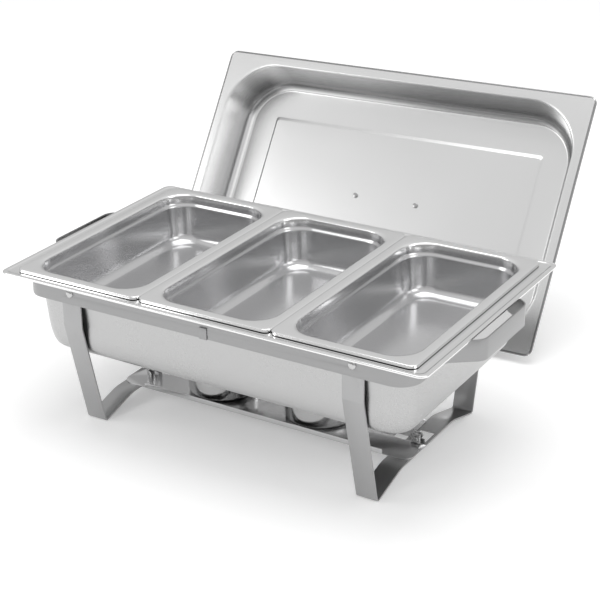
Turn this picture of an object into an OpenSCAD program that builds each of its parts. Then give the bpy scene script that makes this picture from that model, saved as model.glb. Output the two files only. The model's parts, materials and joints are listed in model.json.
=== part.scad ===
// Full-size folding chafing dish: strip-steel frame, water pan, three food
// pans, lid leaning behind, fuel shelf and two fuel holders with dampers.
// Millimetres, +Z up, origin at the middle of the four feet on the table.

/* [Frame] */
// Length of the top rail over its straight ends
rail_l = 516; // [504:1:530]
// Width of the top rail over its long sides
rail_w = 316; // [314:1:322]
// Height of the strip the rail is bent from
rail_h = 27; // [22:1:28]
// Height of the rail's top edge above the table
rail_top = 194.3; // [190:0.1:200]
// Thickness of the strip steel
strip_t = 2; // [1.5:0.1:2.5]
// How far the end handles stand out from the middle of the frame
handle_x = 293; // [285:1:300]
// Width of the leg strips
leg_w = 26.5; // [22:0.5:28]
// Distance of the leg's middle line from the middle of the frame
leg_x = 188.25; // [180:0.25:192]
// Height of the bend where each leg starts to lean inwards
knee_z = 137; // [125:1:145]
// Distance of each foot from the middle line, front to back
foot_y = 121.6; // [110:0.1:130]

/* [Pans] */
// Length of the water pan over its rim
pan_l = 562; // [558:1:570]
// Width of the water pan over its rim
pan_w = 347; // [343:1:355]
// Depth of the water pan
pan_d = 99.3; // [80:0.1:102]
// Height of the water pan's rolled edge
pan_lip = 2.4; // [1.5:0.1:5]
// Length of one food pan over its flange, front to back
food_l = 325; // [322:1:326]
// Width of one food pan over its flange
food_w = 175.6; // [174:0.1:176]
// Depth of a food pan
food_d = 65; // [40:1:80]
// Height of the turned-down edge that a food pan stands on
food_lip = 3.5; // [2:0.5:5]

/* [Lid] */
// Length of the lid over its flange
lid_l = 561; // [556:1:566]
// Width of the lid over its flange
lid_w = 360; // [350:1:364]
// Angle the lid leans back from upright
lean = 35.5; // [32:0.5:38]
// Turn of the leaning lid about the vertical
lid_turn = 2.5; // [0:0.5:4]

/* [Fuel] */
// Outer radius of a fuel holder
cup_r = 43.5; // [40:0.5:44]
// Height of a fuel holder's cup
cup_h = 48; // [40:1:50]
// Radius of the opening in the ring lid
mouth_r = 30.5; // [25:0.5:34]
// Distance of the arm pivot from the holder's axis
pivot_r = 71; // [68:0.5:74]
// Radius of the damper disc
damper_r = 39; // [36:0.5:39]
// Sideways places of the two holders on the shelf
holder_left_x = -82; // [-90:1:-75]
holder_right_x = 58; // [55:1:80]

/* [Hidden] */
$fn = 64;
rivet_z = rail_top - 13.8;   // height of the leg rivets
rivet_r = 2.5;               // rivet shank radius
fit = 0.05;                  // running clearance on the shank
rail_y = rail_w / 2;         // outer face of the rail
leg_y = rail_y - strip_t * 1.5 - 0.3;    // middle of the leg strip, inside the rail
plate_y = 66;                // where the strip between the feet is level
rise = 14.7;                 // height of the level part's middle
rim_t = 1.2;                 // pan rim thickness
skin = 0.8;                  // sheet thickness of pans and lid
rim_z = rail_top + rim_t;    // top of the water pan's rim
lip_gap = 0.6;               // gap between the pan's edge and the handles under it
lid_back = 265;              // distance of the lid's lower edge behind the middle
lid_side = -70.7;            // sideways place of the lid
panel_z = 58;                // height of the lid's pressed-in panel
screw_x = 47;                // lid handle screws from the handle's middle
handle_at = [-2.3, -6.5, 0]; // middle of the lid handle from the middle of the lid
shelf_x = 203;               // end of the shelf's tongues
shelf_y = 50;                // half width of the shelf
tray_t = 1.2;                // shelf sheet thickness
pin_x = leg_x + 1.25;        // shelf screws from the middle
pin_r = 2;                   // shelf screw radius
arm_w = 10.5;                // width of the fuel holder arms
arm_t = 1.5;                 // thickness of the fuel holder arms
arm_turn = 120;              // direction of the fixed arms
open_turn = -100.4;          // swing arm's direction from the fixed arm, open
lever_turn = 77.6;           // lever end's direction from the fixed arm, open
steel = [0.78, 0.78, 0.77];
bright = [0.86, 0.86, 0.85];
dark = [0.12, 0.12, 0.12];

function unit(v) = v / norm(v);

// Points that round corner b, between a and c, to radius r
function corner(a, b, c, r, n) = r == 0 ? [b] :
    let (u = unit(a - b), v = unit(c - b), half = acos(u * v) / 2,
         m = b + unit(u + v) * r / sin(half),
         s = b + u * r / tan(half) - m, e = b + v * r / tan(half) - m,
         turn = sign(cross(s, e)) * acos(min(1, s * e / (r * r))))
    [for (i = [0:n]) let (t = turn * i / n)
        m + [s.x * cos(t) - s.y * sin(t), s.x * sin(t) + s.y * cos(t)]];

// A closed outline whose corners are given as [x, y, radius]
function loop(k, n) = let (c = len(k)) [for (i = [0:c - 1])
    let (a = k[(i + c - 1) % c], b = k[i], d = k[(i + 1) % c])
    each corner([a.x, a.y], [b.x, b.y], [d.x, d.y], b.z, n)];

// An open line whose inner corners are given as [x, y, radius]
function line(k, n) = let (c = len(k)) [for (i = [0:c - 1])
    let (a = k[max(i - 1, 0)], b = k[i], d = k[min(i + 1, c - 1)])
    each corner([a.x, a.y], [b.x, b.y], [d.x, d.y], b.z, n)];

// The same line or loop, moved sideways by d
function aside(p, d, closed) = let (c = len(p)) [for (i = [0:c - 1])
    let (a = closed ? p[(i + c - 1) % c] : p[max(i - 1, 0)],
         b = closed ? p[(i + 1) % c] : p[min(i + 1, c - 1)],
         u = unit(b - a))
    p[i] + d * [-u.y, u.x]];

function turned(p) = [for (i = [len(p) - 1:-1:0]) p[i]];

// Outline of a bent strip of thickness t along an open line
function ribbon(p, t) = concat(aside(p, t / 2, false), turned(aside(p, -t / 2, false)));

function rounded(l, w, r) = let (x = l / 2, y = w / 2)
    loop([[-x, -y, r], [x, -y, r], [x, y, r], [-x, y, r]], 8);

// A solid basin through the given sections, each [length, width, radius, height]
module basin(levels, inset, lift) {
    hull()
    for (k = levels)
        translate([0, 0, k[3] + lift])
        linear_extrude(0.02)
        polygon(rounded(k[0] - 2 * inset, k[1] - 2 * inset, k[2] - inset));
}

// A flat band that follows a rounded rectangle
module band(l, w, r, t, h) {
    linear_extrude(h)
    difference() {
        polygon(rounded(l, w, r));
        polygon(rounded(l - 2 * t, w - 2 * t, r - t));
    }
}

// ---- frame ----
rail_path = let (x = rail_l / 2 - strip_t / 2, y = rail_y - strip_t / 2, h = handle_x - strip_t / 2)
    loop([[-x, -y, 26], [x, -y, 26], [x, -80, 16], [h, -54, 16], [h, 54, 16], [x, 80, 16],
          [x, y, 26], [-x, y, 26], [-x, 80, 16], [-h, 54, 16], [-h, -54, 16], [-x, -80, 16]], 7);

leg_path = line([[-leg_y, rail_top, 0], [-leg_y, knee_z, 10], [-foot_y, 0, 3.5],
                 [-plate_y, rise, 60], [plate_y, rise, 60], [foot_y, 0, 3.5],
                 [leg_y, knee_z, 10], [leg_y, rail_top, 0]], 7);
leg_shape = ribbon(leg_path, strip_t);
sole = min([for (p = leg_shape) p.y]);            // lowest point before it is set down
plate_top = rise + strip_t / 2 - sole;            // top of the strip between the feet
tray_z = plate_top + 0.05;                        // underside of the shelf
tray_top = tray_z + tray_t;                       // surface the fuel holders stand on
pin_z = tray_top + 4.6;                           // height of the shelf screws

module rivet_places() {
    for (x = [-leg_x, leg_x], s = [-1, 1])
        translate([x, s * rail_y, rivet_z])
        rotate([s * 90, 0, 0])
        children();
}

module top_rail() {
    color(steel)
    difference() {
        translate([0, 0, rail_top - rail_h])
        linear_extrude(rail_h)
        difference() {
            polygon(aside(rail_path, -strip_t / 2, true));
            polygon(aside(rail_path, strip_t / 2, true));
        }
        rivet_places()
        translate([0, 0, -1])
        cylinder(r = rivet_r + 0.02, h = strip_t + 2);
        for (s = [-1, 1])
            translate([s * (handle_x - 11) - 18, -90, rim_z - pan_lip - lip_gap])
            cube([36, 180, 5]);
    }
}

module leg_rivets() {
    color(bright)
    rivet_places() {
        translate([0, 0, -2])
        cylinder(r = 5, h = 2);
        cylinder(r = rivet_r, h = 2 * strip_t + 0.7);
        translate([0, 0, 2 * strip_t + 0.5])
        cylinder(r = 4, h = 0.6);
    }
}

// Small tabs at the rail's top edge beside each rivet
module stop_tabs() {
    color(bright)
    for (x = [-leg_x, leg_x], s = [-1, 1])
        translate([x - 7, s * (rail_y + 0.6) - 0.6, rail_top - 8])
        cube([5, 1.2, 5]);
}

// Clips in the middle of the long sides
module rail_clips() {
    color(bright)
    for (s = [-1, 1])
        translate([-5, s * (rail_y + 0.7) - 0.7, rail_top - rail_h - 0.5])
        cube([10, 1.4, 14]);
}

// Lug bent up from the strip, with an open shoulder for the shelf screw
module lug() {
    low = plate_top - strip_t;
    translate([0, strip_t, 0])
    rotate([90, 0, 0])
    linear_extrude(strip_t)
    polygon([[leg_x - 9.5, low], [leg_x + 8.5, low], [leg_x + 8.5, pin_z - pin_r - 0.3],
             [pin_x - pin_r - 0.4, pin_z - pin_r - 0.3], [pin_x - pin_r - 0.4, pin_z + 4],
             [pin_x - pin_r - 3, pin_z + 7], [leg_x - 6.5, pin_z + 7], [leg_x - 9.5, pin_z + 4]]);
}

module leg() {
    difference() {
        intersection() {
            translate([leg_x - leg_w / 2, 0, -sole])
            rotate([90, 0, 90])
            linear_extrude(leg_w)
            polygon(leg_shape);
            translate([0, rail_y, 0])
            rotate([90, 0, 0])
            linear_extrude(rail_w)
            polygon([[leg_x - 14, -1], [leg_x + 14, -1], [leg_x + 14, rivet_z + 7],
                     [leg_x + 7, rivet_z + 13.2], [leg_x - 7, rivet_z + 13.2],
                     [leg_x - 14, rivet_z + 7]]);
        }
        rivet_places()
        translate([0, 0, strip_t / 2])
        cylinder(r = rivet_r + fit, h = 2 * strip_t);
        translate([leg_x - 9.5, strip_t, 0])
        cube([19, 25, plate_top + 5]);
    }
    lug();
}

module leg_right() {
    color(steel)
    leg();
}

module leg_left() {
    color(steel)
    mirror([1, 0, 0])
    leg();
}

// ---- fuel shelf ----
module shelf_tray() {
    ear_y = -7;
    color(steel)
    difference() {
        union() {
            translate([0, 0, tray_z])
            linear_extrude(tray_t)
            polygon(loop([[-shelf_x, -shelf_y, 14], [shelf_x, -shelf_y, 14], [shelf_x, ear_y, 0],
                          [leg_x - 28, ear_y, 0], [leg_x - 28, 3, 0], [leg_x - 11, 3, 0],
                          [leg_x - 11, shelf_y, 8], [11 - leg_x, shelf_y, 8], [11 - leg_x, 3, 0],
                          [28 - leg_x, 3, 0], [28 - leg_x, ear_y, 0], [-shelf_x, ear_y, 0]], 6));
            for (s = [-1, 1])
                translate([-168, s * (shelf_y - tray_t / 2) - tray_t / 2, tray_z])
                cube([336, tray_t, 6.5]);
            for (s = [-1, 1])
                translate([s * pin_x - 6, ear_y - tray_t, tray_z])
                cube([12, tray_t, 13.5]);
        }
        for (s = [-1, 1])
            translate([s * pin_x, ear_y - 5, pin_z])
            rotate([-90, 0, 0])
            cylinder(r = pin_r + 0.02, h = 10);
    }
}

module shelf_screws() {
    color(bright)
    for (s = [-1, 1])
        translate([s * pin_x, -8.2, pin_z])
        rotate([-90, 0, 0]) {
            translate([0, 0, -2.6])
            cylinder(r = 4, h = 2.6);
            cylinder(r = pin_r, h = 14.5);
        }
}

module shelf_nuts() {
    color(bright)
    for (s = [-1, 1])
        translate([s * pin_x, 2.5, pin_z])
        rotate([-90, 0, 0])
        difference() {
            cylinder(r = 4, h = 2.8, $fn = 6);
            translate([0, 0, -1])
            cylinder(r = pin_r + 0.02, h = 5);
        }
}

// ---- pans ----
pan_levels = [[506, 304.6, 34, 0], [494, 294, 32, 20 - pan_d], [490, 290, 30, 8 - pan_d],
              [480, 280, 26, 2 - pan_d], [466, 266, 20, 0.02 - pan_d]];
food_levels = [[151, 300, 36, 0], [140, 289, 33, 18 - food_d], [136, 285, 30, 7 - food_d],
               [127, 276, 26, 1.5 - food_d], [116, 265, 21, 0.02 - food_d]];

module water_pan() {
    color(steel)
    translate([0, 0, rim_z])
    difference() {
        union() {
            translate([0, 0, -rim_t])
            linear_extrude(rim_t)
            polygon(rounded(pan_l, pan_w, 11));
            translate([0, 0, -pan_lip])
            band(pan_l, pan_w, 11, rim_t, pan_lip);
            basin(pan_levels, 0, -0.02);
        }
        translate([0, 0, 0.5])
        basin(pan_levels, skin, skin);
    }
}

module food_pan(x) {
    translate([x, 0, rim_z + food_lip])
    difference() {
        union() {
            translate([0, 0, -skin])
            linear_extrude(skin)
            polygon(rounded(food_w, food_l, 9));
            translate([0, 0, -food_lip])
            band(food_w, food_l, 9, skin, food_lip);
            basin(food_levels, 0, -0.02);
        }
        translate([0, 0, 0.5])
        basin(food_levels, skin, skin);
    }
}

module food_pan_left() {
    color(bright)
    food_pan(-176);
}

module food_pan_middle() {
    color(bright)
    food_pan(0);
}

module food_pan_right() {
    color(bright)
    food_pan(176);
}

// ---- lid, drawn dome up and then leaned back ----
lid_levels = [[532, 330, 75, 0], [508, 316, 68, 46], [500, 308, 62, 55], [488, 296, 52, 60]];
lid_h = lid_levels[3][3];    // height of the lid's flat top
lid_rest = max([for (k = lid_levels) k[3] * sin(lean) - (lid_w / 2 - k[1] / 2) * cos(lean)]) + 0.05;

module leaned() {
    translate([lid_side, lid_back, lid_rest])
    rotate([0, 0, lid_turn])
    rotate([270 - lean, 0, 0])
    translate([0, -lid_w / 2, 0])
    children();
}

module lid_shell() {
    color(bright)
    leaned()
    difference() {
        union() {
            difference() {
                union() {
                    linear_extrude(skin)
                    polygon(rounded(lid_l, lid_w, 11));
                    basin(lid_levels, 0, -0.02);
                }
                translate([0, 0, -0.5])
                basin(lid_levels, skin, -0.5);
            }
            translate([0, 0, panel_z - skin])
            linear_extrude(lid_h - panel_z + skin - 0.1)
            polygon(rounded(416, 210, 5));
        }
        translate([0, 0, panel_z])
        linear_extrude(lid_h)
        polygon(rounded(412, 206, 4));
        translate(handle_at)
        for (s = [-1, 1])
            translate([s * screw_x, 0, panel_z - 5])
            cylinder(r = 2.02, h = 10);
    }
}

module lid_handle() {
    grip = line([[-61, panel_z + 1.5, 0], [-38, panel_z + 1.5, 5], [-30, panel_z + 38, 9],
                 [30, panel_z + 38, 9], [38, panel_z + 1.5, 5], [61, panel_z + 1.5, 0]], 6);
    color(steel)
    leaned()
    translate(handle_at)
    difference() {
        translate([0, 11, 0])
        rotate([90, 0, 0])
        linear_extrude(22)
        polygon(ribbon(grip, 3));
        for (s = [-1, 1])
            translate([s * screw_x, 0, panel_z - 1])
            cylinder(r = 2.02, h = 6);
    }
}

module lid_screws() {
    color(dark)
    leaned()
    translate(handle_at)
    for (s = [-1, 1])
        translate([s * screw_x, 0, panel_z - skin]) {
            translate([0, 0, -2])
            cylinder(r = 3.6, h = 2);
            cylinder(r = 2, h = 8.5);
        }
}

module lid_nuts() {
    color(bright)
    leaned()
    translate(handle_at)
    for (s = [-1, 1])
        translate([s * screw_x, 0, panel_z + 3])
        difference() {
            cylinder(r = 4, h = 3, $fn = 6);
            translate([0, 0, -1])
            cylinder(r = 2.02, h = 5);
        }
}

// ---- fuel holders, each drawn about its own axis on the shelf ----
module on_shelf(x) {
    translate([x, 0, tray_top])
    children();
}

// A flat arm from radius a to radius b along its own direction
module arm(a, b) {
    linear_extrude(arm_t)
    polygon([[a, -arm_w / 2], [b - 3, -arm_w / 2], [b, -arm_w / 4], [b, arm_w / 4],
             [b - 3, arm_w / 2], [a, arm_w / 2]]);
}

module at_pivot(turn, z) {
    rotate([0, 0, arm_turn])
    translate([pivot_r, 0, z])
    rotate([0, 0, turn])
    children();
}

module cup() {
    difference() {
        cylinder(r = cup_r, h = cup_h);
        translate([0, 0, skin])
        cylinder(r = cup_r - skin, h = cup_h);
    }
    rotate([0, 0, -100])
    translate([cup_r - 0.5, 0, cup_h - 9])
    rotate([0, 90, 0])
    cylinder(r = 2, h = 2.8);
}

module ring_lid() {
    outer = cup_r + 2.9;
    translate([0, 0, cup_h])
    difference() {
        cylinder(r = outer, h = skin);
        translate([0, 0, -1])
        cylinder(r = mouth_r, h = 4);
    }
    translate([0, 0, cup_h - 14])
    difference() {
        union() {
            cylinder(r = outer, h = 14);
            translate([0, 0, 1])
            cylinder(r = outer + 0.8, h = 2);
        }
        translate([0, 0, -1])
        cylinder(r = outer - 1.1, h = 16);
        rotate([0, 0, -100])
        translate([cup_r - 2, -5, -1])
        cube([10, 10, 10]);
    }
}

module fixed_arm() {
    difference() {
        rotate([0, 0, arm_turn])
        translate([0, 0, cup_h + skin])
        arm(damper_r + 1.5, 122);
        at_pivot(0, cup_h)
        cylinder(r = 2.02, h = 5);
    }
}

module arm_rivet() {
    at_pivot(0, cup_h + skin) {
        translate([0, 0, -1])
        cylinder(r = 4, h = 1);
        cylinder(r = 2, h = 2 * arm_t + 0.3);
        translate([0, 0, 2 * arm_t + 0.3])
        cylinder(r = 4, h = 1.2);
    }
}

module swing_arm() {
    z = cup_h + skin + arm_t + 0.2;
    difference() {
        union() {
            at_pivot(open_turn, z)
            arm(-1, 48);
            at_pivot(lever_turn, z)
            arm(-1, 38);
            at_pivot(0, z)
            cylinder(r = 7, h = arm_t);
        }
        at_pivot(0, z - 1)
        cylinder(r = 2.05, h = 5);
    }
}

// The disc sits just under the swing arm and clear of the ring
module damper() {
    at_pivot(open_turn, cup_h + skin + arm_t + 0.2)
    translate([pivot_r, 0, -1.1])
    cylinder(r = damper_r, h = 1.1);
}

module arm_tip() {
    at_pivot(lever_turn, cup_h + skin + arm_t + 0.2)
    translate([38, -6, 0])
    cube([9, 12, 2.4]);
}

module fuel_cup_left() {
    color(steel)
    on_shelf(holder_left_x)
    cup();
}

module ring_lid_left() {
    color(bright)
    on_shelf(holder_left_x)
    ring_lid();
}

module fixed_arm_left() {
    color(steel)
    on_shelf(holder_left_x)
    fixed_arm();
}

module arm_rivet_left() {
    color(bright)
    on_shelf(holder_left_x)
    arm_rivet();
}

module swing_arm_left() {
    color(steel)
    on_shelf(holder_left_x)
    swing_arm();
}

module damper_left() {
    color(bright)
    on_shelf(holder_left_x)
    damper();
}

module arm_tip_left() {
    color(dark)
    on_shelf(holder_left_x)
    arm_tip();
}

module fuel_cup_right() {
    color(steel)
    on_shelf(holder_right_x)
    cup();
}

module ring_lid_right() {
    color(bright)
    on_shelf(holder_right_x)
    ring_lid();
}

module fixed_arm_right() {
    color(steel)
    on_shelf(holder_right_x)
    fixed_arm();
}

module arm_rivet_right() {
    color(bright)
    on_shelf(holder_right_x)
    arm_rivet();
}

module swing_arm_right() {
    color(steel)
    on_shelf(holder_right_x)
    swing_arm();
}

module damper_right() {
    color(bright)
    on_shelf(holder_right_x)
    damper();
}

module arm_tip_right() {
    color(dark)
    on_shelf(holder_right_x)
    arm_tip();
}

top_rail();
leg_rivets();
stop_tabs();
rail_clips();
leg_left();
leg_right();
shelf_tray();
shelf_screws();
shelf_nuts();
water_pan();
food_pan_left();
food_pan_middle();
food_pan_right();
lid_shell();
lid_handle();
lid_screws();
lid_nuts();
fuel_cup_left();
ring_lid_left();
fixed_arm_left();
arm_rivet_left();
swing_arm_left();
damper_left();
arm_tip_left();
fuel_cup_right();
ring_lid_right();
fixed_arm_right();
arm_rivet_right();
swing_arm_right();
damper_right();
arm_tip_right();
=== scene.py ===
# %% [markdown]
# # A folding chafing dish
# The dish keeps food warm over two fuel holders. A frame of bent strip steel
# carries a water pan, three food pans hang in the water pan, and the lid
# leans behind. The CAD frame gives every place and size, so this script
# starts by loading it, and measures each part's box where it needs it.

import json
import math

import bmesh
import bpy
import numpy as np
from mathutils import Matrix, Vector


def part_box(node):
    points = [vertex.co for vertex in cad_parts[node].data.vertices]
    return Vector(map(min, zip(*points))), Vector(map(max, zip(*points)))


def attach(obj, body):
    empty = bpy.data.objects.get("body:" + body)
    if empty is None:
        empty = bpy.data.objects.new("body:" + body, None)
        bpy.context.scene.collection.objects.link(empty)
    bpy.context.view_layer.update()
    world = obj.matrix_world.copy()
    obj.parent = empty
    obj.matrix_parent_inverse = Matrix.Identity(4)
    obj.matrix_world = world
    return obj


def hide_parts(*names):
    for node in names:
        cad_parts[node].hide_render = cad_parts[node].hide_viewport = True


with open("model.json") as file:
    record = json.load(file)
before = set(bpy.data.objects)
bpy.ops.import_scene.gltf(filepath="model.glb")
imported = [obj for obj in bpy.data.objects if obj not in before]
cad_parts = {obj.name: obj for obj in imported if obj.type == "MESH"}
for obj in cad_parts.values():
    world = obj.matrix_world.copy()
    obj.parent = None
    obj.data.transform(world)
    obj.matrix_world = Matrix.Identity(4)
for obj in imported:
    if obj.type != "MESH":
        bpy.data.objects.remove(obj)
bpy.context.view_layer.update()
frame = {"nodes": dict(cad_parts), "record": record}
nodes = frame["nodes"]
sides = ("left", "right")

# %% [markdown]
# ## Shader maths as expressions
# A steel finish is a few numbers that change over the surface: how dark the
# metal is, how rough, and how deep the brushing is. Wrapping a socket in a
# small class lets such a number be written as a sum or product, and each
# operator adds the Math node that does it.


# %% A socket that can be added and multiplied
class Value:
    """An output socket of a shader tree, with arithmetic."""

    def __init__(self, tree, socket):
        self.tree = tree
        self.socket = socket

    def _maths(self, operation, a, b):
        return add_node(self.tree, "ShaderNodeMath", {"operation": operation}, {0: a, 1: b})

    def __add__(self, other):
        return self._maths("ADD", self, other)

    def __sub__(self, other):
        return self._maths("SUBTRACT", self, other)

    def __rsub__(self, other):
        return self._maths("SUBTRACT", other, self)

    def __mul__(self, other):
        return self._maths("MULTIPLY", self, other)

    __radd__ = __add__
    __rmul__ = __mul__


def add_node(tree, kind, settings, inputs, output=0):
    """Adds any node: its settings first, then its sockets' values or links."""
    node = tree.nodes.new(kind)
    for name, value in settings.items():
        setattr(node, name, value)
    for name, value in inputs.items():
        if isinstance(value, Value):
            tree.links.new(value.socket, node.inputs[name])
        else:
            node.inputs[name].default_value = value
    return Value(tree, node.outputs[output])


print("sockets add, subtract and multiply")

# %% [markdown]
# ## Steel
# Every piece but two arm tips is stainless steel, and the finishes differ in
# how the metal was treated. Rolled and brushed strip has fine parallel scratches,
# which a noise drawn out 120 times along an axis gives. Deep-drawn pans have
# a soft even satin, and their rims are smoother and painted lighter, a painted
# sheen. A broad faint noise adds the slight waviness of real sheet.


# %% One maker for all the steels
drawn_out = 120
darker, lighter = 0.9, 1.1


def steel(name, tone, rough, lay, scratch=0.05, wave=0.03, depth=0.00002, fine=900, polish_and_sheen=None,
          painted_shade_tone=None):
    """A brushed steel. lay names the axes the scratches run along, or is None for satin.
    The rim band is (height, tone, rough): above that height the sheet is smoother, and its lighter tone is
    a painted sheen.
    The last argument is a darker tone, painted shade laid where the mesh's attribute marks."""
    material = bpy.data.materials.new(name)
    material.use_nodes = True
    tree = material.node_tree
    shader = tree.nodes["Principled BSDF"]
    place = add_node(tree, "ShaderNodeTexCoord", {}, {}, "Object")
    stretch = [fine, fine, fine]
    for axis in lay or ():
        stretch["xyz".index(axis)] = fine / drawn_out
    grain_place = add_node(tree, "ShaderNodeMapping", {}, {"Vector": place, "Scale": stretch})
    grain = add_node(tree, "ShaderNodeTexNoise", {}, {"Vector": grain_place, "Scale": 1.0, "Detail": 3.0})
    cloud = add_node(tree, "ShaderNodeTexNoise", {}, {"Vector": place, "Scale": 9.0, "Detail": 2.0})
    shade = (grain - 0.5) * scratch + (cloud - 0.5) * wave
    colour = add_node(tree, "ShaderNodeMix", {"data_type": "RGBA", "clamp_factor": True}, {
        "Factor": shade * 4.0 + 0.5,
        "A": [v * darker for v in tone] + [1.0],
        "B": [min(1.0, v * lighter) for v in tone] + [1.0]}, 2)
    roughness = shade * 1.2 + rough
    # Painted sheen: above the rim's height the colour is lighter and the roughness lower.
    if polish_and_sheen:
        height = add_node(tree, "ShaderNodeSeparateXYZ", {}, {"Vector": place}, "Z")
        painted_light_share = add_node(tree, "ShaderNodeMapRange", {"interpolation_type": "SMOOTHSTEP"}, {
            "Value": height, "From Min": polish_and_sheen[0] - 0.002, "From Max": polish_and_sheen[0] + 0.001})
        colour = add_node(tree, "ShaderNodeMix", {"data_type": "RGBA"}, {
            "Factor": painted_light_share, "A": colour, "B": list(polish_and_sheen[1]) + [1.0]}, 2)
        roughness = roughness + painted_light_share * (polish_and_sheen[2] - rough)
    # Painted shade: a darker tone where the mesh's attribute marks.
    if painted_shade_tone:
        stretched = add_node(tree, "ShaderNodeAttribute", {"attribute_name": "stretched"}, {}, "Fac")
        colour = add_node(tree, "ShaderNodeMix", {"data_type": "RGBA"}, {
            "Factor": stretched, "A": colour, "B": list(painted_shade_tone) + [1.0]}, 2)
    bump = add_node(tree, "ShaderNodeBump", {}, {"Height": grain, "Distance": depth, "Strength": 0.35})
    for socket, value in (("Base Color", colour), ("Roughness", roughness), ("Normal", bump)):
        tree.links.new(value.socket, shader.inputs[socket])
    shader.inputs["Metallic"].default_value = 1.0
    return material


print("a steel's grain is drawn out", drawn_out, "times along its lay")

# %% [markdown]
# ## Plastic
# The dark tips of the two swinging arms are the only pieces that aren't steel.
# They are made as a moulded plastic, which a fine even noise grains, in colour
# and in height, with no direction to it.


# %% The dark plastic of the arm tips
def plastic(name, tone, rough):
    """A moulded plastic with a faint spark-eroded grain."""
    material = bpy.data.materials.new(name)
    material.use_nodes = True
    tree = material.node_tree
    shader = tree.nodes["Principled BSDF"]
    place = add_node(tree, "ShaderNodeTexCoord", {}, {}, "Object")
    grain = add_node(tree, "ShaderNodeTexNoise", {}, {"Vector": place, "Scale": 1400.0, "Detail": 2.0})
    colour = add_node(tree, "ShaderNodeMix", {"data_type": "RGBA"}, {
        "Factor": grain, "A": [v * 0.8 for v in tone] + [1.0], "B": [v * 1.3 for v in tone] + [1.0]}, 2)
    bump = add_node(tree, "ShaderNodeBump", {}, {"Height": grain, "Distance": 0.00005, "Strength": 0.4})
    for socket, value in (("Base Color", colour), ("Roughness", grain * 0.2 + rough), ("Normal", bump)):
        tree.links.new(value.socket, shader.inputs[socket])
    return material


tip_plastic = plastic("tip_plastic", (0.035, 0.02, 0.018), 0.40)
print("made", tip_plastic.name)

# %% [markdown]
# ## The finishes of this dish
# One dictionary holds all the finishes, so that a piece asks for its own by a
# plain word. The pans' rims are smoother from a few millimetres below their
# top, which the CAD frame gives, and painted lighter there, a painted sheen.

# %% Finishes
water_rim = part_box("water_pan")[1].z
food_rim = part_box("food_pan_left")[1].z
finish = {
    # The rail and legs are painted darker, a painted shade, and the shelf lighter, painted light against
    # the shade under the dish; all three are one strip steel.
    "rail": steel("rail_steel", (0.335, 0.335, 0.337), 0.30, "xy", scratch=0.08),
    "leg": steel("leg_steel", (0.405, 0.405, 0.407), 0.32, "yz", scratch=0.08),
    "shelf": steel("shelf_steel", (0.56, 0.56, 0.563), 0.20, "x", scratch=0.05),
    # The pans' rims are painted lighter, a painted sheen, and are smoother.
    "water_pan": steel("water_pan_steel", (0.49, 0.49, 0.49), 0.28, None,
                       polish_and_sheen=(water_rim - 0.006, (0.84, 0.84, 0.84), 0.10)),
    "food_pan": steel("food_pan_steel", (0.62, 0.62, 0.625), 0.20, None,
                      polish_and_sheen=(food_rim - 0.006, (0.86, 0.86, 0.86), 0.12)),
    # The lid's wall and rolled edge get a darker tone, painted shade.
    "lid": steel("lid_steel", (0.74, 0.74, 0.74), 0.26, "x", scratch=0.012, depth=0.0000015, fine=1500,
                 painted_shade_tone=(0.31, 0.31, 0.312)),
    "bright": steel("bright_steel", (0.55, 0.55, 0.55), 0.20, None),
    # The fasteners are painted darker, a painted shade, as the shelf's screws sit in shade.
    "fastener": steel("fastener_steel", (0.42, 0.42, 0.42), 0.24, None),
    "handle": steel("handle_steel", (0.62, 0.62, 0.62), 0.22, "x"),
    "holder": steel("holder_steel", (0.58, 0.58, 0.58), 0.16, "xy", scratch=0.08),
    "arm": steel("arm_steel", (0.60, 0.60, 0.60), 0.28, None),
    "tip": tip_plastic,
}
print(len(finish), "finishes")

# %% [markdown]
# ## Pieces as meshes
# A drawn pan is a stack of rounded rectangles. Its section is a short list of
# corners, each softened by the radius of the press tool, and the same list
# serves the rim, the wall and the floor. The sheet gets its thickness from a
# Solidify modifier, which is applied, so that the piece is plain mesh.


# %% From a section to a drawn sheet
def softened(keys, steps=6):
    """Rounds a section's corners. A key is (half length, half width, corner radius, height, bend)."""
    points = []
    last = len(keys) - 1
    for i, key in enumerate(keys):
        here = np.array(key[:4])
        if i in (0, last) or key[4] == 0:
            points.append(here)
            continue
        ends = []
        for other in (keys[i - 1], keys[i + 1]):
            way = np.array(other[:4]) - here
            reach = max(math.hypot(way[0], way[3]), math.hypot(way[1], way[3]))
            ends.append(here + way * min(0.5, key[4] / reach))
        for step in range(steps + 1):
            t = step / steps
            points.append((1 - t) ** 2 * ends[0] + 2 * t * (1 - t) * here + t * t * ends[1])
    return points


def ring(half_x, half_y, radius, height, steps=12):
    """The points of a rounded rectangle, anticlockwise seen from above."""
    points = []
    for quarter, (sx, sy) in enumerate(((1, -1), (1, 1), (-1, 1), (-1, -1))):
        for step in range(steps + 1):
            turn = math.radians(90 * (quarter - 1 + step / steps))
            points.append(Vector((sx * (half_x - radius) + radius * math.cos(turn),
                                  sy * (half_y - radius) + radius * math.sin(turn), height)))
    return points


print("a rounded rectangle has", len(ring(2, 1, 0.5, 0)), "points")


# %% From rings to a sheet with a thickness
def new_object(name, mesh):
    """Puts a mesh into the scene as an object."""
    piece = bpy.data.objects.new(name, mesh)
    bpy.context.scene.collection.objects.link(piece)
    return piece


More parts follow.
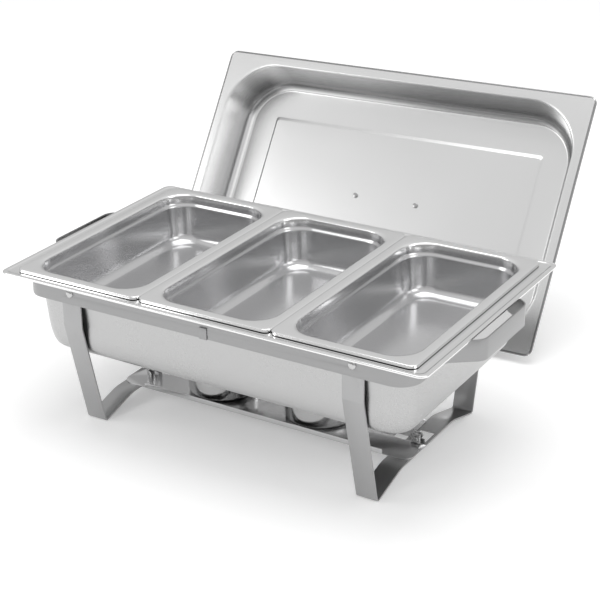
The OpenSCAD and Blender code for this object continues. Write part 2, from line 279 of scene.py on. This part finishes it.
def lofted(name, levels):
    """Joins rings of equal length by quads and closes the last one."""
    work = bmesh.new()
    rows = [[work.verts.new(p) for p in points] for points in levels]
    count = len(rows[0])
    for low, high in zip(rows, rows[1:]):
        for i in range(count):
            j = (i + 1) % count
            work.faces.new((low[i], low[j], high[j], high[i]))
    work.faces.new(rows[-1])
    mesh = bpy.data.meshes.new(name)
    work.to_mesh(mesh)
    work.free()
    return new_object(name, mesh)


def applied(piece):
    """Turns the piece's modifiers into plain mesh."""
    graph = bpy.context.evaluated_depsgraph_get()
    graph.update()
    mesh = bpy.data.meshes.new_from_object(piece.evaluated_get(graph))
    piece.modifiers.clear()
    piece.data = mesh
    mesh.name = piece.name
    return piece


def thickened(piece, thickness):
    """Gives a sheet its thickness behind the side that faces out."""
    solid = piece.modifiers.new("thickness", "SOLIDIFY")
    solid.thickness = thickness
    solid.offset = -1
    solid.use_even_offset = True
    return applied(piece)


print("a sheet is lofted, then thickened")


# %% Paint and body
def finished(piece, material, body, stands_for, sharp=35):
    """Smooths, paints and mounts a piece that is in its place."""
    mesh = piece.data
    mesh.polygons.foreach_set("use_smooth", [True] * len(mesh.polygons))
    mesh.set_sharp_from_angle(angle=math.radians(sharp))
    mesh.materials.clear()
    mesh.materials.append(material)
    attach(piece, body)
    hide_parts(*stands_for)
    return piece


def drawn(name, keys, thickness, centre=(0, 0, 0)):
    """A pressed sheet from a section, moved to its centre."""
    levels = [ring(*point) for point in softened(keys)]
    piece = thickened(lofted(name, levels), thickness)
    piece.data.transform(Matrix.Translation(centre))
    return piece


print("a pressed sheet needs a section, a thickness and a centre")

# %% [markdown]
# ## Water pan
# The water pan hangs in the frame by a broad flange. Its outer edge is turned
# down, and a shallow groove inside the edge stiffens it and shows as a thin
# dark line. Below the flange the wall draws in slightly and meets the floor
# in a wide bend.

# %% Water pan
low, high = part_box("water_pan")
half_x, half_y = high.x, high.y
top, bottom = high.z, low.z
water_top = top
mm = 0.001
pan_sheet = 1.0 * mm
mouth_x, mouth_y = half_x - 29 * mm, half_y - 22.2 * mm
groove = 0.7 * mm
water_keys = [
    (half_x, half_y, 11 * mm, top - 2.4 * mm, 0),
    (half_x, half_y, 11 * mm, top, 1.3 * mm),
    (half_x - 5 * mm, half_y - 5 * mm, 9 * mm, top, 0.7 * mm),
    (half_x - 6.2 * mm, half_y - 6.2 * mm, 9 * mm, top - groove, 0.7 * mm),
    (mouth_x, mouth_y, 33 * mm, top - groove, 3 * mm),
    (mouth_x - 6 * mm, mouth_y - 5.3 * mm, 31 * mm, bottom + 20 * mm, 18 * mm),
    (mouth_x - 12 * mm, mouth_y - 11 * mm, 27 * mm, bottom + 2.4 * mm, 9 * mm),
    (mouth_x - 26 * mm, mouth_y - 25 * mm, 17 * mm, bottom + pan_sheet, 6 * mm),
    (mouth_x - 60 * mm, mouth_y - 60 * mm, 6 * mm, bottom + pan_sheet, 0),
]
water_pan = drawn("water_pan_sheet", water_keys, pan_sheet)
finished(water_pan, finish["water_pan"], "water_pan", ["water_pan"])
print("water pan", [round(v * 1000, 1) for v in water_pan.dimensions], "mm")

# %% [markdown]
# ## Food pans
# Three equal pans stand side by side in the water pan. The flange is flat,
# its edge is turned down on to the water pan's flange, its corners are nearly
# square outside and round inside, and the wall has a small step below the
# flange on which such pans stack.

# %% Food pans
for side in ("left", "middle", "right"):
    node = f"food_pan_{side}"
    low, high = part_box(node)
    centre = (low + high) / 2
    half_x, half_y = (high.x - low.x) / 2, (high.y - low.y) / 2
    top, bottom = high.z, low.z
    flange = 12.3 * mm
    mouth_x, mouth_y = half_x - flange, half_y - flange
    food_keys = [
        (half_x, half_y, 9 * mm, water_top + 0.05 * mm, 0),
        (half_x, half_y, 9 * mm, top, 1.3 * mm),
        (mouth_x, mouth_y, 36 * mm, top, 2.5 * mm),
        (mouth_x - 1.5 * mm, mouth_y - 1.5 * mm, 35 * mm, top - 12 * mm, 1.5 * mm),
        (mouth_x - 3.5 * mm, mouth_y - 3.5 * mm, 34 * mm, top - 15 * mm, 1.5 * mm),
        (mouth_x - 8 * mm, mouth_y - 8 * mm, 30 * mm, bottom + 7 * mm, 8 * mm),
        (mouth_x - 18 * mm, mouth_y - 18 * mm, 22 * mm, bottom + 1 * mm, 5 * mm),
        (mouth_x - 40 * mm, mouth_y - 60 * mm, 8 * mm, bottom + 1 * mm, 0),
    ]
    food_pan = drawn(f"{node}_sheet", food_keys, 0.9 * mm, (centre.x, centre.y, 0))
    finished(food_pan, finish["food_pan"], node, [node])
print("food pans", [round(v * 1000, 1) for v in food_pan.dimensions], "mm")

# %% [markdown]
# ## Lid
# The lid is drawn like a pan, and the side that shows is its hollow one. Its
# top has a shallow rectangle pressed into it, which keeps the sheet flat under
# the handle. Its wall and rolled edge are painted darker, a painted shade, and
# an attribute on the mesh marks where. The lid is drawn lying down, then leaned
# back and set against the corner of the frame's box for it, which has the same flange.

# %% Lid
lid_x, lid_y = 280.4 * mm, 179.7 * mm
crown = 59 * mm
panel = crown - 1.1 * mm
lid_keys = [
    (lid_x, lid_y, 11 * mm, 2.4 * mm, 0),
    (lid_x, lid_y, 11 * mm, 0, 1.2 * mm),
    (lid_x - 2.7 * mm, lid_y - 2.7 * mm, 10 * mm, 0, 0.2 * mm),
    (lid_x - 3.2 * mm, lid_y - 3.2 * mm, 10 * mm, 0, 0.2 * mm),
    (lid_x - 15 * mm, lid_y - 15.5 * mm, 75 * mm, 0, 2 * mm),
    (lid_x - 26.5 * mm, lid_y - 22 * mm, 68 * mm, crown - 8 * mm, 8 * mm),
    (lid_x - 36 * mm, lid_y - 31.5 * mm, 55 * mm, crown, 2 * mm),
    (208.5 * mm, 105.5 * mm, 5 * mm, crown, 0.5 * mm),
    (206 * mm, 100.5 * mm, 4 * mm, panel, 0.5 * mm),
    (178 * mm, 76 * mm, 3 * mm, panel, 0),
]
levels = [ring(*point) for point in softened(lid_keys)]
lid = lofted("lid_sheet", levels)
lid.data.flip_normals()
thickened(lid, 1.0 * mm)
print("lid is", round(crown * 1000, 1), "mm deep")

# %% Where the lid gets its painted shade
wall_top, wall_foot = 3 * mm, crown - 1.5 * mm
top_fade, foot_fade = 4 * mm, 2 * mm
rolled, rolled_fade = 3 * mm, 0.3 * mm
# Painted shade goes on the wall between its top and its foot, and on the rolled edge.
drop = np.array([v.co.z for v in lid.data.vertices])
reach = np.array([max(abs(v.co.x) - lid_x, abs(v.co.y) - lid_y) for v in lid.data.vertices])
wall = np.clip((drop - wall_top) / top_fade, 0, 1) * np.clip((wall_foot - drop) / foot_fade, 0, 1)
edge = np.clip((reach + rolled) / rolled_fade, 0, 1)
painted_light_share = np.maximum(wall, edge)
stretched = lid.data.attributes.new("stretched", "FLOAT", "POINT")
stretched.data.foreach_set("value", painted_light_share.astype(float))
print("stretched at", int((painted_light_share > 0.5).sum()), "of", len(painted_light_share), "points")

# %% Set the lid in its place
lean, turn = math.radians(35.5), math.radians(2.5)
lid.data.transform(Matrix.Rotation(turn, 4, "Z") @ Matrix.Rotation(math.radians(270) - lean, 4, "X"))
low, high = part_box("lid_shell")
corners = np.array([v.co for v in lid.data.vertices])
shift = ((low.x + high.x) / 2 - (corners[:, 0].min() + corners[:, 0].max()) / 2,
         low.y - corners[:, 1].min(), high.z - corners[:, 2].max())
lid.data.transform(Matrix.Translation(shift))
finished(lid, finish["lid"], "lid", ["lid_shell"])
print("lid leans", round(math.degrees(lean), 1), "degrees back")

# %% [markdown]
# ## Strips, arms and small hardware
# The frame, shelf and arms are cut and bent strip. The CAD holds their exact
# shape, so each is copied, its loose triangles are merged and joined to flat
# faces, and every sheared edge gets the small break that catches the light.


# %% Copies with broken edges
def edged(node, width, material, segments=2):
    """A copy of a CAD node with its edges broken."""
    piece = new_object(f"{node}_piece", nodes[node].data.copy())
    work = bmesh.new()
    work.from_mesh(piece.data)
    bmesh.ops.remove_doubles(work, verts=work.verts, dist=1e-6)
    bmesh.ops.dissolve_limit(work, angle_limit=math.radians(1), verts=work.verts, edges=work.edges)
    work.to_mesh(piece.data)
    work.free()
    bevel = piece.modifiers.new("edge", "BEVEL")
    bevel.width = width
    bevel.segments = segments
    bevel.limit_method = "ANGLE"
    bevel.angle_limit = math.radians(30)
    bevel.use_clamp_overlap = True
    applied(piece)
    body = next(b for b, members in frame["record"]["behaviour"]["bodies"].items() if node in members)
    return finished(piece, material, body, [node], sharp=40)


print("edges are broken by a bevel")

# %% Frame, shelf, handle and arms
edged("top_rail", 0.35 * mm, finish["rail"])
edged("leg_left", 0.35 * mm, finish["leg"])
edged("leg_right", 0.35 * mm, finish["leg"])
edged("shelf_tray", 0.3 * mm, finish["shelf"])
edged("lid_handle", 0.5 * mm, finish["handle"])
for node in ("stop_tabs", "rail_clips"):
    edged(node, 0.3 * mm, finish["rail"])
for node in ("shelf_nuts", "lid_nuts"):
    edged(node, 0.3 * mm, finish["fastener"])
for side in sides:
    edged(f"fixed_arm_{side}", 0.3 * mm, finish["arm"])
    edged(f"swing_arm_{side}", 0.3 * mm, finish["arm"])
    edged(f"damper_{side}", 0.3 * mm, finish["holder"])
    edged(f"arm_tip_{side}", 0.7 * mm, finish["tip"], segments=3)
print("strips and small hardware done")

# %% [markdown]
# ## Turned and spun pieces
# Cups, ring lids and fastener heads are round, so each is a profile turned
# about its axis. A profile is a list of radius and height, and its bends are
# softened in the same way as a pan's section.


# %% A profile turned about +Z
on_axis = 1e-7


def turned(name, profile, steps=72, bend=0.5 * mm):
    """A closed profile of (radius, height) pairs turned about the Z axis."""
    keys = [(r, 0, 0, z, bend) for r, z in profile]
    soft = [(p[0], p[3]) for p in softened(keys, 3)]
    work = bmesh.new()
    rows = []
    for radius, height in soft:
        if radius < on_axis:
            rows.append([work.verts.new((0, 0, height))])
            continue
        rows.append([work.verts.new((radius * math.cos(2 * math.pi * i / steps),
                                     radius * math.sin(2 * math.pi * i / steps), height))
                     for i in range(steps)])
    for low_row, high_row in zip(rows, rows[1:]):
        for i in range(steps):
            j = (i + 1) % steps
            quad = [low_row[i % len(low_row)], low_row[j % len(low_row)],
                    high_row[j % len(high_row)], high_row[i % len(high_row)]]
            face = list(dict.fromkeys(quad))
            if len(face) > 2:
                work.faces.new(face)
    bmesh.ops.recalc_face_normals(work, faces=work.faces)
    mesh = bpy.data.meshes.new(name)
    work.to_mesh(mesh)
    work.free()
    return new_object(name, mesh)


print("turned pieces close within", on_axis, "m of their axis")

# %% [markdown]
# ## Fuel holders
# A holder is a spun cup with a ring lid over it. Two rolled beads run round
# the ring lid's skirt, and its top is a flat ring round the flame's mouth.

# %% Cups and ring lids
for side in sides:
    low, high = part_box(f"fuel_cup_{side}")
    ring_low, ring_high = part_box(f"ring_lid_{side}")
    centre = ((ring_low.x + ring_high.x) / 2, (ring_low.y + ring_high.y) / 2, 0)
    radius, base, rim = high.y - centre[1], low.z, high.z
    cup_sheet = 1.0 * mm
    cup = turned(f"fuel_cup_{side}_shell", [
        (0, base), (radius - 3 * mm, base), (radius, base + 3 * mm), (radius, rim),
        (radius - cup_sheet, rim), (radius - cup_sheet, base + 3.4 * mm),
        (radius - 3.4 * mm, base + cup_sheet), (0, base + cup_sheet)], bend=1.2 * mm)
    peg_turn = math.radians(-100)
    peg = bmesh.new()
    bmesh.ops.create_cone(peg, cap_ends=True, segments=20, radius1=2 * mm, radius2=1.7 * mm, depth=2.7 * mm)
    peg.transform(Matrix.Rotation(peg_turn, 4, "Z")
                  @ Matrix.Translation((radius + 0.95 * mm, 0, rim - 9 * mm))
                  @ Matrix.Rotation(math.radians(90), 4, "Y"))
    peg.from_mesh(cup.data)
    peg.to_mesh(cup.data)
    peg.free()
    cup.data.transform(Matrix.Translation(centre))
    finished(cup, finish["holder"], f"fuel_holder_{side}", [f"fuel_cup_{side}"])

    outer, top, foot = ring_high.y - centre[1], ring_high.z, ring_low.z
    skirt = outer - 0.8 * mm
    mouth = 30.5 * mm
    band = turned(f"ring_lid_{side}_shell", [
        (mouth, top), (skirt - 1.5 * mm, top), (skirt, top - 1.5 * mm), (skirt, foot + 9 * mm),
        (outer, foot + 8 * mm), (outer, foot + 7 * mm), (skirt, foot + 6 * mm), (skirt, foot + 4 * mm),
        (outer, foot + 3 * mm), (outer, foot + 1 * mm), (skirt, foot), (skirt - 1 * mm, foot),
        (skirt - 1 * mm, top - 2 * mm), (skirt - 2 * mm, top - 1 * mm), (mouth, top - 1 * mm),
        (mouth, top)], bend=0.5 * mm)
    band.data.transform(Matrix.Translation(centre))
    finished(band, finish["holder"], f"holder_lid_{side}", [f"ring_lid_{side}"])
print("fuel holders", round(2 * radius * 1000, 1), "mm across")

# %% [markdown]
# ## Rivets and screws
# One head profile repeats at every place of its kind, so Geometry Nodes set
# it: the tree takes a few points, each with the axis its fastener looks
# along, and puts the turned shape on each. The instances are realised and
# painted in the tree, and the result is kept as plain mesh.


# %% A tree that sets fasteners on points
def fastener_tree():
    """Builds the tree: points and a shape go in, painted fasteners come out."""
    tree = bpy.data.node_groups.new("set_fasteners", "GeometryNodeTree")
    for name, kind in (("Points", "NodeSocketGeometry"), ("Shape", "NodeSocketObject"),
                       ("Size", "NodeSocketFloat"), ("Finish", "NodeSocketMaterial")):
        tree.interface.new_socket(name, in_out="INPUT", socket_type=kind)
    tree.interface.new_socket("Fasteners", in_out="OUTPUT", socket_type="NodeSocketGeometry")
    add = tree.nodes.new
    link = tree.links.new
    given, result = add("NodeGroupInput"), add("NodeGroupOutput")
    shape, axis = add("GeometryNodeObjectInfo"), add("GeometryNodeInputNamedAttribute")
    axis.data_type = "FLOAT_VECTOR"
    axis.inputs["Name"].default_value = "axis"
    align = add("FunctionNodeAlignRotationToVector")
    align.axis = "Z"
    spread = add("GeometryNodeInstanceOnPoints")
    real = add("GeometryNodeRealizeInstances")
    paint = add("GeometryNodeSetMaterial")
    link(given.outputs["Shape"], shape.inputs["Object"])
    link(axis.outputs["Attribute"], align.inputs["Vector"])
    link(given.outputs["Points"], spread.inputs["Points"])
    link(shape.outputs["Geometry"], spread.inputs["Instance"])
    link(align.outputs["Rotation"], spread.inputs["Rotation"])
    link(given.outputs["Size"], spread.inputs["Scale"])
    link(spread.outputs["Instances"], real.inputs["Geometry"])
    link(real.outputs["Geometry"], paint.inputs["Geometry"])
    link(given.outputs["Finish"], paint.inputs["Material"])
    link(paint.outputs["Geometry"], result.inputs["Fasteners"])
    return tree


set_fasteners = fastener_tree()
print("fastener tree has", len(set_fasteners.nodes), "nodes")


# %% Fasteners on their places
def fastened(name, places, axes, profile, material, body, stands_for, steps=28):
    """Turned fasteners, one on each place, looking along its axis."""
    shape = turned(f"{name}_shape", profile, steps, bend=0.4 * mm)
    mesh = bpy.data.meshes.new(name)
    mesh.from_pydata([tuple(p) for p in places], [], [])
    axis = mesh.attributes.new("axis", "FLOAT_VECTOR", "POINT")
    axis.data.foreach_set("vector", [v for a in axes for v in a])
    piece = new_object(name, mesh)
    spread = piece.modifiers.new("fasteners", "NODES")
    spread.node_group = set_fasteners
    values = {"Shape": shape, "Size": 1.0, "Finish": material}
    for item in set_fasteners.interface.items_tree:
        if item.in_out == "INPUT" and item.name in values:
            spread[item.identifier] = values[item.name]
    applied(piece)
    bpy.data.objects.remove(shape)
    return finished(piece, material, body, stands_for)


def solids(node):
    """The box of each separate solid of a CAD node, as its lowest and highest corner."""
    work = bmesh.new()
    work.from_mesh(nodes[node].data)
    bmesh.ops.remove_doubles(work, verts=work.verts, dist=1e-6)
    left = set(work.verts)
    found = []
    while left:
        group, edge = set(), [left.pop()]
        while edge:
            vert = edge.pop()
            group.add(vert)
            for link in vert.link_edges:
                other = link.other_vert(vert)
                if other in left:
                    left.discard(other)
                    edge.append(other)
        points = np.array([vert.co for vert in group])
        found.append((points.min(0), points.max(0)))
    work.free()
    return sorted(found, key=lambda pair: tuple(pair[0]))


print("places come from the CAD nodes")

# %% Leg rivets
rivets = solids("leg_rivets")
outward = [math.copysign(1, a[1] + b[1]) for a, b in rivets]
places = [((a[0] + b[0]) / 2, max(abs(a[1]), abs(b[1])) * s, (a[2] + b[2]) / 2)
          for (a, b), s in zip(rivets, outward)]
rivet_head = [(0, 0), (2.4 * mm, -0.15 * mm), (4.3 * mm, -0.9 * mm), (5 * mm, -2 * mm), (2.5 * mm, -2 * mm),
              (2.5 * mm, -6.5 * mm), (4 * mm, -6.5 * mm), (3.8 * mm, -7.1 * mm), (0, -7.1 * mm)]
fastened("leg_rivets_set", places, [(0, s, 0) for s in outward], rivet_head, finish["bright"],
         "frame_top", ["leg_rivets"])
print("leg rivets", len(rivets))

# %% Screws and arm rivets
screws = solids("shelf_screws")
places = [((a[0] + b[0]) / 2, a[1], (a[2] + b[2]) / 2) for a, b in screws]
length = float(screws[0][1][1] - screws[0][0][1])
screw = [(0, -0.9 * mm), (1.2 * mm, -0.9 * mm), (1.4 * mm, -0.2 * mm), (3.2 * mm, 0), (4 * mm, -1 * mm),
         (4 * mm, -2.6 * mm), (2 * mm, -2.6 * mm), (2 * mm, -length), (0, -length)]
fastened("shelf_screws_set", places, [(0, -1, 0)] * 2, screw, finish["fastener"],
         "shelf", ["shelf_screws"])
for side in sides:
    a, b = solids(f"arm_rivet_{side}")[0]
    rivet = [(0, 0), (2.4 * mm, -0.1 * mm), (4 * mm, -1.2 * mm), (2 * mm, -1.2 * mm), (2 * mm, -4.5 * mm),
             (4 * mm, -4.5 * mm), (3.6 * mm, -5.5 * mm), (0, -5.5 * mm)]
    fastened(f"arm_rivet_{side}_set", [((a[0] + b[0]) / 2, (a[1] + b[1]) / 2, b[2])], [(0, 0, 1)], rivet,
             finish["bright"], f"holder_lid_{side}", [f"arm_rivet_{side}"])
edged("lid_screws", 0.3 * mm, finish["fastener"])
print("shelf screws", len(screws), "with a length of", round(length * 1000, 1), "mm")

# %% [markdown]
# ## Floor, light and camera
# Polished steel shows what is round it more than its own colour. A pale floor,
# which glows faintly, lightens everything that looks down. A large soft light
# above gives the rims their shine, and a darker band at the horizon gives the
# upright strips their grey. The camera stands where the frame's proportions
# are seen best.

# %% Floor
floor_mesh = bpy.data.meshes.new("floor")
floor_half = 6
floor_corners = [(x * floor_half, y * floor_half, 0) for x, y in ((-1, -1), (1, -1), (1, 1), (-1, 1))]
floor_mesh.from_pydata(floor_corners, [], [(0, 1, 2, 3)])
floor = new_object("floor", floor_mesh)
paper = bpy.data.materials.new("floor_paper")
paper.use_nodes = True
paper_look = paper.node_tree.nodes["Principled BSDF"].inputs
paper_look["Base Color"].default_value = (0.93, 0.93, 0.93, 1)
paper_look["Roughness"].default_value = 0.9
paper_look["Emission Color"].default_value = (1, 1, 1, 1)
paper_look["Emission Strength"].default_value = 0.22
floor.data.materials.append(paper)
print("floor is", 2 * floor_half, "m wide")

# %% World
world = bpy.data.worlds.new("studio")
bpy.context.scene.world = world
world.use_nodes = True
tree = world.node_tree
way = add_node(tree, "ShaderNodeTexCoord", {}, {}, "Generated")
height = add_node(tree, "ShaderNodeSeparateXYZ", {}, {"Vector": way}, "Z")
ramp = tree.nodes.new("ShaderNodeValToRGB")
tree.links.new(height.socket, ramp.inputs["Fac"])
stops = ((0.0, 0.30), (0.1, 0.35), (0.4, 0.66), (0.75, 0.80))
for i, (place, tone) in enumerate(stops):
    stop = ramp.color_ramp.elements[i] if i < 2 else ramp.color_ramp.elements.new(place)
    stop.position = place
    stop.color = (tone, tone, tone, 1)
background = tree.nodes["Background"]
tree.links.new(ramp.outputs["Color"], background.inputs["Color"])
background.inputs["Strength"].default_value = 1.0
bpy.context.scene.view_settings.view_transform = "Standard"
print("world tones from the horizon up", [tone for place, tone in stops])


# %% Lights
def soft_light(name, place, target, size, power):
    """A rectangular area light that looks at its target."""
    lamp = bpy.data.lights.new(name, "AREA")
    lamp.shape = "RECTANGLE"
    lamp.size, lamp.size_y = size
    lamp.energy = power
    light = bpy.data.objects.new(name, lamp)
    bpy.context.scene.collection.objects.link(light)
    light.location = place
    light.rotation_euler = (Vector(target) - Vector(place)).to_track_quat("-Z", "Y").to_euler()


soft_light("overhead", (0.0, 0.3, 2.3), (0, 0, 0.1), (1.6, 1.6), 16)
soft_light("front_left", (-1.9, -1.7, 1.5), (0, 0, 0.15), (1.2, 1.2), 11)
soft_light("right", (2.2, -0.2, 1.2), (0, 0, 0.15), (1.0, 1.4), 7)
print("lights", [light.name for light in bpy.data.lights])

# %% Camera
azimuth, elevation, roll = (math.radians(a) for a in (33.46, 23.83, -1.53))
target = Vector((-0.05431, 0, 0.14163))
distance = 1.92222
back = Vector((math.sin(azimuth) * math.cos(elevation),
               -math.cos(azimuth) * math.cos(elevation),
               math.sin(elevation)))
right = (-back).cross(Vector((0, 0, 1))).normalized()
up = right.cross(-back)
level_right = math.cos(roll) * right + math.sin(roll) * up
level_up = -math.sin(roll) * right + math.cos(roll) * up
lens = bpy.data.cameras.new("camera")
lens.sensor_width = 36
lens.lens = 95.33
lens.shift_x = 0.1
camera = bpy.data.objects.new("camera", lens)
bpy.context.scene.collection.objects.link(camera)
stand = Matrix((level_right, level_up, back)).transposed().to_4x4()
camera.matrix_world = Matrix.Translation(target + back * distance) @ stand
bpy.context.scene.camera = camera
print("camera stands", distance, "m from its target")
